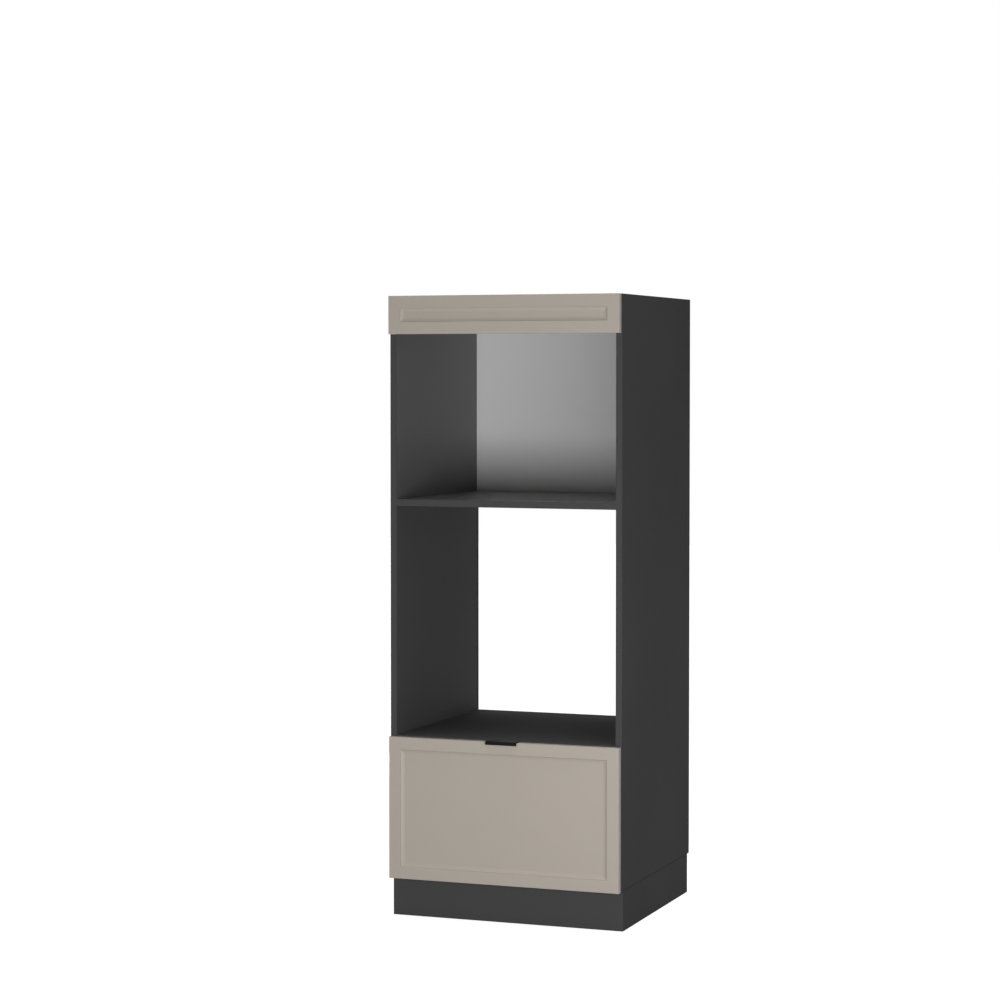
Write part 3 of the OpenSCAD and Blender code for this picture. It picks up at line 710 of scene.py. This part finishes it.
@dataclass(frozen=True)
class BareMetal:
    """Metal without a coat: lapped balls with a film of grease, or a blasted casting."""

    name: str
    pale: Colour
    dark: Colour
    clouds: float
    smoothest: float
    roughest: float
    metallic: float = 1.0
    grain: float = 0.0
    relief: float = 0.00004

    def make(self) -> bpy.types.Material:
        """Builds the material.

        Returns:
            The material.
        """
        tree = FinishTree(self.name)
        drift, cloud = tree.effect(Effect.DRIFT, Scale=self.clouds)
        if self.grain:
            height, = tree.effect(Effect.PEEL, Scale=self.grain)
            tree.feed(tree.shader, Normal=tree.bump(height, self.relief))
        return tree.finish(Base_Color=tree.blend(cloud, self.pale, self.dark),
                           Metallic=self.metallic,
                           Roughness=tree.between(drift, self.smoothest, self.roughest))


@dataclass(frozen=True)
class PowderCoat:
    """Matt powder coat with a fine sand-like grain."""

    name: str = "black_powder_coat"
    colour: Colour = linear(12, 12, 12)
    dark: float = 0.75
    light: float = 1.3
    smoothest: float = 0.55
    roughest: float = 0.66

    def make(self) -> bpy.types.Material:
        """Builds the material.

        Returns:
            The material.
        """
        tree = FinishTree(self.name)
        grain, = tree.effect(Effect.PEEL, Scale=1400.0)
        drift = tree.effect(Effect.DRIFT, Scale=18.0)[0]
        # The colour follows the grain's height: darker in its pits and lighter on its tops. This is
        # painted shade and light of the grain.
        face = tree.blend(grain, toned(self.colour, self.dark), toned(self.colour, self.light))
        return tree.finish(Base_Color=face, Specular_IOR_Level=0.08,
                           Roughness=tree.between(drift, self.smoothest, self.roughest),
                           Normal=tree.bump(grain, distance=0.00006))


@dataclass(frozen=True)
class Moulded:
    """Moulded plastic with a faint spark-eroded grain."""

    name: str
    colour: Colour
    roughness: float = 0.5
    spread: float = 0.06
    fleck_share: float = 0.6
    fleck_gain: float = 1.2
    fleck_lift: float = 0.002

    def make(self) -> bpy.types.Material:
        """Builds the material.

        Returns:
            The material.
        """
        tree = FinishTree(self.name)
        grain, speckle = tree.effect(Effect.PEARL, Scale=2400.0)
        drift = tree.effect(Effect.DRIFT, Scale=22.0)[0]
        fleck = tuple(part * self.fleck_gain + self.fleck_lift for part in self.colour)
        face = tree.blend(tree.scaled(speckle, self.fleck_share), self.colour, fleck)
        rough = tree.between(drift, self.roughness - self.spread, self.roughness + self.spread)
        return tree.finish(Base_Color=face, Specular_IOR_Level=0.4, Roughness=rough,
                           Normal=tree.bump(grain, distance=0.00003))


@dataclass(frozen=True)
class ClearBuffer:
    """Soft translucent disc."""

    name: str = "clear_buffer"
    pale: Colour = linear(214, 217, 216)
    dark: Colour = linear(196, 200, 199)

    def make(self) -> bpy.types.Material:
        """Builds the material.

        Returns:
            The material.
        """
        tree = FinishTree(self.name)
        cloud = tree.effect(Effect.DRIFT, Scale=90.0)[1]
        return tree.finish(Base_Color=tree.blend(cloud, self.pale, self.dark), Roughness=0.28,
                           Subsurface_Weight=0.4, Subsurface_Scale=0.002)


@dataclass(frozen=True)
class Beech:
    """Raw fluted beech dowel."""

    name: str = "raw_beech"
    dark: Colour = linear(190, 150, 108)
    pale: Colour = linear(214, 182, 140)
    along: Place = (0.04, 1.0, 1.0)

    def make(self) -> bpy.types.Material:
        """Builds the material.

        Returns:
            The material.
        """
        tree = FinishTree(self.name)
        streak, height = tree.effect(Effect.ROLLED, Along=self.along, Scale=1400.0)
        return tree.finish(Base_Color=tree.blend(streak, self.dark, self.pale), Roughness=0.8,
                           Normal=tree.bump(height, distance=0.0001))


# ---------- meshes


def merged_copy(node: str) -> bmesh.types.BMesh:
    """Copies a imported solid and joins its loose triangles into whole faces.

    Args:
        node: Name of the solid.

    Returns:
        The copy, ready for shaping.
    """
    shape = bmesh.new()
    shape.from_mesh(frame["nodes"][node].data)
    bmesh.ops.remove_doubles(shape, verts=shape.verts, dist=WELD)
    bmesh.ops.dissolve_limit(shape, angle_limit=FLAT_UNDER, verts=shape.verts,
                             edges=shape.edges)
    return shape


def corners(shape: bmesh.types.BMesh) -> tuple[Vector, Vector]:
    """Finds the lowest and the highest corner of a mesh.

    Args:
        shape: The mesh.

    Returns:
        Both corners.
    """
    places = [vert.co for vert in shape.verts]
    return (Vector([min(place[axis] for place in places) for axis in range(3)]),
            Vector([max(place[axis] for place in places) for axis in range(3)]))


def walls_touched(edge: bmesh.types.BMEdge, low: Vector, high: Vector) -> int:
    """Counts the walls of a box on which an edge lies.

    Args:
        edge: The edge.
        low: Lowest corner of the box.
        high: Highest corner of the box.

    Returns:
        The number of walls.
    """
    ends = [vert.co for vert in edge.verts]
    return sum(all(abs(end[axis] - wall[axis]) < TOUCH for end in ends)
               for axis in range(3) for wall in (low, high))


def round_edges(shape: bmesh.types.BMesh, edges: list[bmesh.types.BMEdge],
                radius: float) -> None:
    """Rounds edges of a mesh.

    Args:
        shape: The mesh.
        edges: The edges.
        radius: Radius of the rounding.
    """
    bmesh.ops.bevel(shape, geom=edges, offset=radius, offset_type="OFFSET", segments=2,
                    profile=0.5, affect="EDGES", clamp_overlap=True, material=-1)


def soften_rims(shape: bmesh.types.BMesh, radius: float) -> None:
    """Rounds the twelve outer edges of a board.

    Args:
        shape: The board.
        radius: Radius of the rounding.
    """
    low, high = corners(shape)
    round_edges(shape, [edge for edge in shape.edges if walls_touched(edge, low, high) >= 2],
                radius)


def cut_level(shape: bmesh.types.BMesh, height: float, drop_above: bool) -> None:
    """Cuts a mesh at a height.

    Args:
        shape: The mesh.
        height: Height of the cut.
        drop_above: Whether the part above the cut goes, or else the part below it.
    """
    bmesh.ops.bisect_plane(shape, geom=[*shape.verts, *shape.edges, *shape.faces],
                           plane_co=(0.0, 0.0, height), plane_no=UPWARD,
                           clear_outer=drop_above, clear_inner=not drop_above)


def close_ends(shape: bmesh.types.BMesh) -> None:
    """Fills the open outlines of a mesh."""
    bmesh.ops.holes_fill(shape, edges=[edge for edge in shape.edges if edge.is_boundary])


def finished_piece(name: str, shape: bmesh.types.BMesh, finishes: Iterable[bpy.types.Material],
                   node: str, smooth_under: float = 12.0) -> None:
    """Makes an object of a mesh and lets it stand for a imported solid.

    Args:
        name: Name of the piece.
        shape: Its mesh, which is freed.
        finishes: Its materials, in the order of the faces' numbers.
        node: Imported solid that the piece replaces.
        smooth_under: Largest angle in degrees over which the shading runs on.
    """
    for face in shape.faces:
        face.smooth = True
    limit = math.radians(smooth_under)
    for edge in shape.edges:
        edge.smooth = len(edge.link_faces) == 2 and edge.calc_face_angle(0.0) < limit
    mesh = bpy.data.meshes.new(name)
    shape.to_mesh(mesh)
    shape.free()
    for finish in finishes:
        mesh.materials.append(finish)
    piece = bpy.data.objects.new(name, mesh)
    bpy.context.scene.collection.objects.link(piece)
    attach(piece, body_that_holds(node))
    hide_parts(node)
    LOG.info("%s: %d faces, stands for %s", name, len(mesh.polygons), node)


def dress(node: str, finish: bpy.types.Material) -> None:
    """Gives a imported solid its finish.

    Args:
        node: Name of the solid.
        finish: Its material.
    """
    materials = frame["nodes"][node].data.materials
    materials.clear()
    materials.append(finish)
    LOG.info("%s: finish %s", node, finish.name)


# ---------- carcass


@dataclass
class Carcass:
    """Side boards, shelves, rail and plinth of graphite melamine, and the hardboard backs."""

    colour: Colour = linear(68, 68, 68)
    back_colour: Colour = linear(203, 203, 203)
    rim: float = 0.0005
    facing: float = 0.9
    widest_edge: float = 0.05
    near_floor: float = 0.2
    skin: float = 0.0002
    niche_gloss: float = 1.0
    oven_gloss: float = 0.06
    boards: tuple[str, ...] = ("left_side", "right_side", "bottom_panel", "oven_shelf",
                               "microwave_shelf", "top_panel", "front_rail")
    plinth: tuple[str, ...] = ("plinth_front", "plinth_left", "plinth_right")
    backs: tuple[str, ...] = ("microwave_back", "lower_back")

    def build(self) -> None:
        """Builds the boards and dresses the backs."""
        sawn = RawChipboard().make()
        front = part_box("left_side")[0][1]
        face = Melamine("graphite_melamine", self.colour, (0.0, front, 0.0), REARWARD,
                        self.niche_linings()).make()
        for node in self.boards:
            self.board(node, face, sawn)
        plinth_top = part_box("plinth_front")[1][2]
        strip = Melamine("graphite_plinth_melamine", self.colour, (0.0, 0.0, plinth_top),
                         DOWNWARD).make()
        for node in self.plinth:
            self.board(node, strip, sawn)
        for node in self.backs:
            low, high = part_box(node)
            middle = (0.0, (low[1] + high[1]) / 2, 0.0)
            dress(node, Hardboard(f"{node}_hardboard", middle, REARWARD,
                                  self.back_colour).make())

    def niche_linings(self) -> tuple[Lining, ...]:
        """Finds the faces that line the two niches.

        Returns:
            The box of the closed microwave niche, then that of the open oven niche.
        """
        low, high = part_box("microwave_shelf")
        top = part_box("top_panel")[0][2]
        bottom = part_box("oven_shelf")[1][2]
        left, right = low[0] - self.skin, high[0] + self.skin
        front, rear = low[1] + 2 * self.rim, high[1]
        return (Lining((left, front, high[2] - self.skin), (right, rear, top + self.skin),
                       self.niche_gloss),
                Lining((left, front, bottom + self.skin), (right, rear, low[2] - self.skin),
                       self.oven_gloss))

    def board(self, node: str, face: bpy.types.Material, sawn: bpy.types.Material) -> None:
        """Builds one board with rounded rims and sawn rear and lower ends.

        Args:
            node: Solid that the board stands for.
            face: Finish of its faces and banded edges.
            sawn: Finish of its unbanded edges.
        """
        shape = merged_copy(node)
        low, high = corners(shape)
        span = high - low
        soften_rims(shape, self.rim)
        for item in shape.faces:
            place, normal = item.calc_center_median(), item.normal
            behind = normal.y > self.facing and place.y > high.y - TOUCH
            below = normal.z < -self.facing and place.z < low.z + TOUCH
            item.material_index = int(behind and span.y > self.widest_edge
                                      or below and span.z > self.widest_edge
                                      and low.z < self.near_floor)
        finished_piece(f"board_{node}", shape, (face, sawn), node)


# ---------- fronts and handle


@dataclass
class Fronts:
    """Fascia, drawer front and the black edge pull."""

    lip_round: float = 0.0004
    sharp_over: float = 60.0
    shortest: float = 0.004

    def build(self) -> None:
        """Dresses the two fronts and builds the pull."""
        lacquer = Lacquer().make()
        for node in ("fascia", "drawer_front"):
            dress(node, lacquer)
        self.pull()

    def pull(self) -> None:
        """Builds the pull with softened edges, as its powder coat leaves them."""
        shape = merged_copy("handle")
        sharp = [edge for edge in shape.edges
                 if len(edge.link_faces) == 2 and edge.is_convex
                 and edge.calc_face_angle(0.0) > math.radians(self.sharp_over)
                 and edge.calc_length() > self.shortest]
        round_edges(shape, sharp, self.lip_round)
        finished_piece("edge_pull", shape, (PowderCoat().make(),), "handle")


# ---------- drawer


@dataclass
class DrawerBox:
    """Light grey box behind the drawer front."""

    colour: Colour = linear(205, 205, 203)
    roughness: float = 0.45
    specular: float = 0.4
    rim: float = 0.0005
    boards: tuple[str, ...] = ("box_side_left", "box_side_right", "box_front", "box_back")

    def build(self) -> None:
        """Builds the boards and dresses the bottom."""
        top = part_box("box_side_left")[1][2]
        face = Melamine("box_melamine", self.colour, (0.0, 0.0, top), DOWNWARD,
                        roughness=self.roughness, specular=self.specular).make()
        for node in self.boards:
            shape = merged_copy(node)
            soften_rims(shape, self.rim)
            finished_piece(f"board_{node}", shape, (face,), node)
        low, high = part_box("box_bottom")
        middle = (0.0, 0.0, (low[2] + high[2]) / 2)
        dress("box_bottom", Hardboard("box_bottom_hardboard", middle, DOWNWARD,
                                      self.colour).make())


# ---------- runners and fittings


@dataclass
class Metalwork:
    """Runners, their cages and balls, and every screw, bolt, cam, dowel and bracket."""

    runners: tuple[str, ...] = ("runner_outer", "runner_middle", "runner_inner")
    screws: tuple[str, ...] = ("back_screws", "cam_bolts", "fascia_screws", "bracket_screws",
                               "clip_screws", "leg_screws", "cabinet_runner_screws",
                               "drawer_runner_screws", "box_screws", "front_screws")

    def build(self) -> None:
        """Dresses the metal parts and the small fittings."""
        strip = ZincPlate("rolled_zinc_plate", along=(1.0, 0.02, 1.0)).make()
        cage = ZincPlate("cage_strip", along=(1.0, 0.05, 1.0), colour=linear(186, 182, 170),
                         roughness=0.36).make()
        turned = ZincPlate("turned_zinc_plate", along=(1.0, 1.0, 1.0),
                           colour=linear(204, 205, 208), roughness=0.26).make()
        balls = BareMetal("lapped_ball_steel", linear(214, 214, 218), linear(188, 184, 176),
                          clouds=120.0, smoothest=0.08, roughest=0.2).make()
        cast = BareMetal("die_cast_zinc", linear(168, 168, 170), linear(142, 142, 146),
                         clouds=60.0, smoothest=0.42, roughest=0.55, metallic=0.9,
                         grain=1500.0).make()
        for side in ("left", "right"):
            for runner in self.runners:
                dress(f"{runner}_{side}", strip)
            for row in ("outer", "inner"):
                dress(f"{row}_cage_{side}", cage)
                dress(f"{row}_balls_{side}", balls)
        for node in self.screws:
            dress(node, turned)
        dress("wall_brackets", strip)
        dress("dowels", Beech().make())
        dress("cam_housings", cast)
        dress("cam_caps", Moulded("graphite_caps", linear(66, 66, 67)).make())
        dress("front_buffers", ClearBuffer().make())


# ---------- feet


@dataclass
class Feet:
    """Sockets, threaded spindles, swivel pads, the clips of the plinth and the spacer rings."""

    corners: tuple[str, ...] = ("front_left", "front_right", "rear_left", "rear_right")
    plastics: tuple[str, ...] = ("leg_sockets", "plinth_clips", "fascia_spacers")
    radius: float = 0.005
    pitch: float = 0.003
    depth: float = 0.0009
    flanks: tuple[float, ...] = (0.25, 0.45, 0.75, 0.95)
    lead_in: float = 1.5
    steps: int = 20
    weld: float = 1e-6
    collar: float = 0.0127
    shoulder: float = 0.0004
    overlap: float = 0.001
    smooth_under: float = 40.0

    def build(self) -> None:
        """Dresses the plastic and builds the threads."""
        plastic = Moulded("black_polypropylene", linear(34, 34, 35), roughness=0.46).make()
        plated = ZincPlate("spindle_zinc", along=(1.0, 1.0, 1.0),
                           colour=linear(196, 196, 192)).make()
        for node in self.plastics:
            dress(node, plastic)
        for corner in self.corners:
            dress(f"pad_{corner}", plastic)
            self.spindle(corner, plated)

    def spindle(self, corner: str, finish: bpy.types.Material) -> None:
        """Builds one spindle: ball end, hexagon collar and a real thread.

        Args:
            corner: Which foot.
            finish: Its plating.
        """
        node = f"spindle_{corner}"
        low, high = (Vector(part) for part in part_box(node))
        middle = (low + high) / 2
        shape = merged_copy(node)
        collar_top = low.z + self.collar
        cut_level(shape, collar_top + self.shoulder, drop_above=True)
        close_ends(shape)
        thread = self.thread(collar_top - self.overlap, high.z)
        bmesh.ops.translate(thread, verts=thread.verts, vec=(middle.x, middle.y, 0.0))
        carrier = bpy.data.meshes.new("thread")
        thread.to_mesh(carrier)
        thread.free()
        shape.from_mesh(carrier)
        bpy.data.meshes.remove(carrier)
        finished_piece(f"threaded_{node}", shape, (finish,), node,
                       self.smooth_under)

    def thread(self, bottom: float, top: float) -> bmesh.types.BMesh:
        """Winds a trapezoid thread and trims it between two heights.

        Args:
            bottom: Height of the lower end.
            top: Height of the upper end.

        Returns:
            The closed rod, round the vertical axis.
        """
        rod = bmesh.new()
        root = self.radius - self.depth
        reaches = (root, root, self.radius, self.radius, root, root)
        start = bottom - self.lead_in * self.pitch
        verts = [rod.verts.new((reach, 0.0, start + share * self.pitch))
                 for reach, share in zip(reaches, (0.0, *self.flanks, 1.0))]
        edges = [rod.edges.new(pair) for pair in zip(verts, verts[1:])]
        turns = math.ceil((top - start) / self.pitch) + 1
        bmesh.ops.spin(rod, geom=[*verts, *edges], cent=(0.0, 0.0, 0.0), axis=UPWARD,
                       dvec=(0.0, 0.0, self.pitch / self.steps), angle=turns * math.tau,
                       steps=turns * self.steps, use_merge=False)
        bmesh.ops.remove_doubles(rod, verts=rod.verts, dist=self.weld)
        cut_level(rod, bottom, drop_above=False)
        cut_level(rod, top, drop_above=True)
        close_ends(rod)
        bmesh.ops.recalc_face_normals(rod, faces=rod.faces)
        return rod


# ---------- studio


@dataclass(frozen=True)
class SoftLamp:
    """Flat soft lamp that stands round the cabinet and looks at it."""

    name: str
    turn: float
    height: float
    size: tuple[float, float]
    power: float
    distance: float = 3.0
    target: Place = (0.0, -0.28, 0.8)

    def hang(self) -> None:
        """Places the lamp."""
        data = bpy.data.lights.new(self.name, "AREA")
        data.shape = "RECTANGLE"
        data.size, data.size_y = self.size
        data.energy = self.power
        lamp = bpy.data.objects.new(self.name, data)
        turn = math.radians(self.turn)
        target = Vector(self.target)
        lamp.location = target + Vector((math.sin(turn) * self.distance,
                                         -math.cos(turn) * self.distance,
                                         self.height - target.z))
        aim = (target - lamp.location).to_track_quat("-Z", "Y")
        lamp.rotation_euler = aim.to_euler()
        bpy.context.scene.collection.objects.link(lamp)


@dataclass
class Studio:
    """Camera, lamps, pale floor and white surroundings."""

    eye: Place = (2.2883, -6.3474, 1.3325)
    turn: Place = (88.0126, 0.003, 20.7158)
    lens: float = 96.583
    sensor: float = 36.0
    shift: float = -0.03
    sight: float = 60.0
    key: SoftLamp = SoftLamp("key_softbox", turn=22.0, height=0.61, size=(3.4, 0.8), power=84.0)
    fill: SoftLamp = SoftLamp("rear_fill", turn=222.0, height=0.23, size=(2.4, 0.36), power=45.0)
    ambient_low: float = 0.09
    ambient_high: float = 0.32
    overhead: float = 6.6
    overhead_from: float = 0.93
    floor_reach: float = 14.0
    floor_glow: float = 0.87
    floor_tone: float = 0.38

    def build(self) -> None:
        """Sets the whole studio up."""
        self.camera()
        self.key.hang()
        self.fill.hang()
        self.surroundings()
        self.floor()
        bpy.context.scene.view_settings.view_transform = "Standard"

    def camera(self) -> None:
        """Places the camera where the photograph was taken from."""
        data = bpy.data.cameras.new("photo_camera")
        data.lens = self.lens
        data.sensor_width = self.sensor
        data.shift_y = self.shift
        data.clip_end = self.sight
        camera = bpy.data.objects.new("photo_camera", data)
        camera.location = self.eye
        camera.rotation_euler = tuple(math.radians(angle) for angle in self.turn)
        bpy.context.scene.collection.objects.link(camera)
        bpy.context.scene.camera = camera

    def surroundings(self) -> None:
        """Makes a room that looks and mirrors white and lights softly, most from above."""
        world = bpy.data.worlds.new("white_room")
        tree = Tree(emptied(world))
        rays = tree.add("ShaderNodeLightPath").outputs
        way = tree.add("ShaderNodeTexCoord").outputs["Generated"]
        rise = tree.feed(tree.add("ShaderNodeSeparateXYZ"), Vector=way).outputs["Z"]
        soft = tree.sum("ADD", tree.between(rise, self.ambient_low, self.ambient_high),
                        tree.ramp(rise, self.overhead_from, 1.0, 0.0, self.overhead))
        seen = tree.sum("MAXIMUM", rays["Is Camera Ray"],
                        tree.sum("MAXIMUM", rays["Is Glossy Ray"],
                                 rays["Is Transmission Ray"]))
        level = tree.add("ShaderNodeMix", data_type="FLOAT")
        for value, slot in ((seen, 0), (soft, 2), (1.0, 3)):
            tree.put(value, level.inputs[slot])
        shade = tree.add("ShaderNodeBackground")
        tree.feed(shade, Color=(1.0, 1.0, 1.0, 1.0), Strength=level.outputs[0])
        tree.feed(tree.add("ShaderNodeOutputWorld"), Surface=shade.outputs[0])
        bpy.context.scene.world = world

    def floor(self) -> None:
        """Lays a pale floor that takes the cabinet's shadow; from below it is clear."""
        shape = bmesh.new()
        bmesh.ops.create_grid(shape, x_segments=4, y_segments=4, size=self.floor_reach)
        mesh = bpy.data.meshes.new("studio_floor")
        shape.to_mesh(mesh)
        shape.free()
        mesh.materials.append(self.floor_finish())
        floor = bpy.data.objects.new("studio_floor", mesh)
        bpy.context.scene.collection.objects.link(floor)

    def floor_finish(self) -> bpy.types.Material:
        """Builds the floor's material.

        Returns:
            The material.
        """
        material = bpy.data.materials.new("pale_floor")
        tree = Tree(emptied(material))
        rays = tree.add("ShaderNodeLightPath").outputs
        seen = tree.sum("MAXIMUM", rays["Is Camera Ray"], rays["Is Glossy Ray"])
        glow = tree.feed(tree.add("ShaderNodeEmission"),
                         Strength=tree.scaled(seen, self.floor_glow))
        diffuse = tree.feed(tree.add("ShaderNodeBsdfDiffuse"),
                            Color=(self.floor_tone, self.floor_tone, self.floor_tone, 1.0))
        both = tree.add("ShaderNodeAddShader")
        tree.put(diffuse.outputs[0], both.inputs[0])
        tree.put(glow.outputs[0], both.inputs[1])
        below = tree.add("ShaderNodeNewGeometry").outputs["Backfacing"]
        clear = tree.add("ShaderNodeBsdfTransparent").outputs[0]
        sides = tree.add("ShaderNodeMixShader")
        for slot, socket in enumerate((below, both.outputs[0], clear)):
            tree.put(socket, sides.inputs[slot])
        tree.feed(tree.add("ShaderNodeOutputMaterial"), Surface=sides.outputs[0])
        return material


def main() -> None:
    """Builds the sub-assemblies in order."""
    logging.basicConfig(level=logging.INFO, format="%(name)s: %(message)s")
    for assembly in (Carcass(), Fronts(), DrawerBox(), Metalwork(), Feet(), Studio()):
        LOG.info("building %s", type(assembly).__name__)
        assembly.build()


if __name__ == "__main__":
    main()
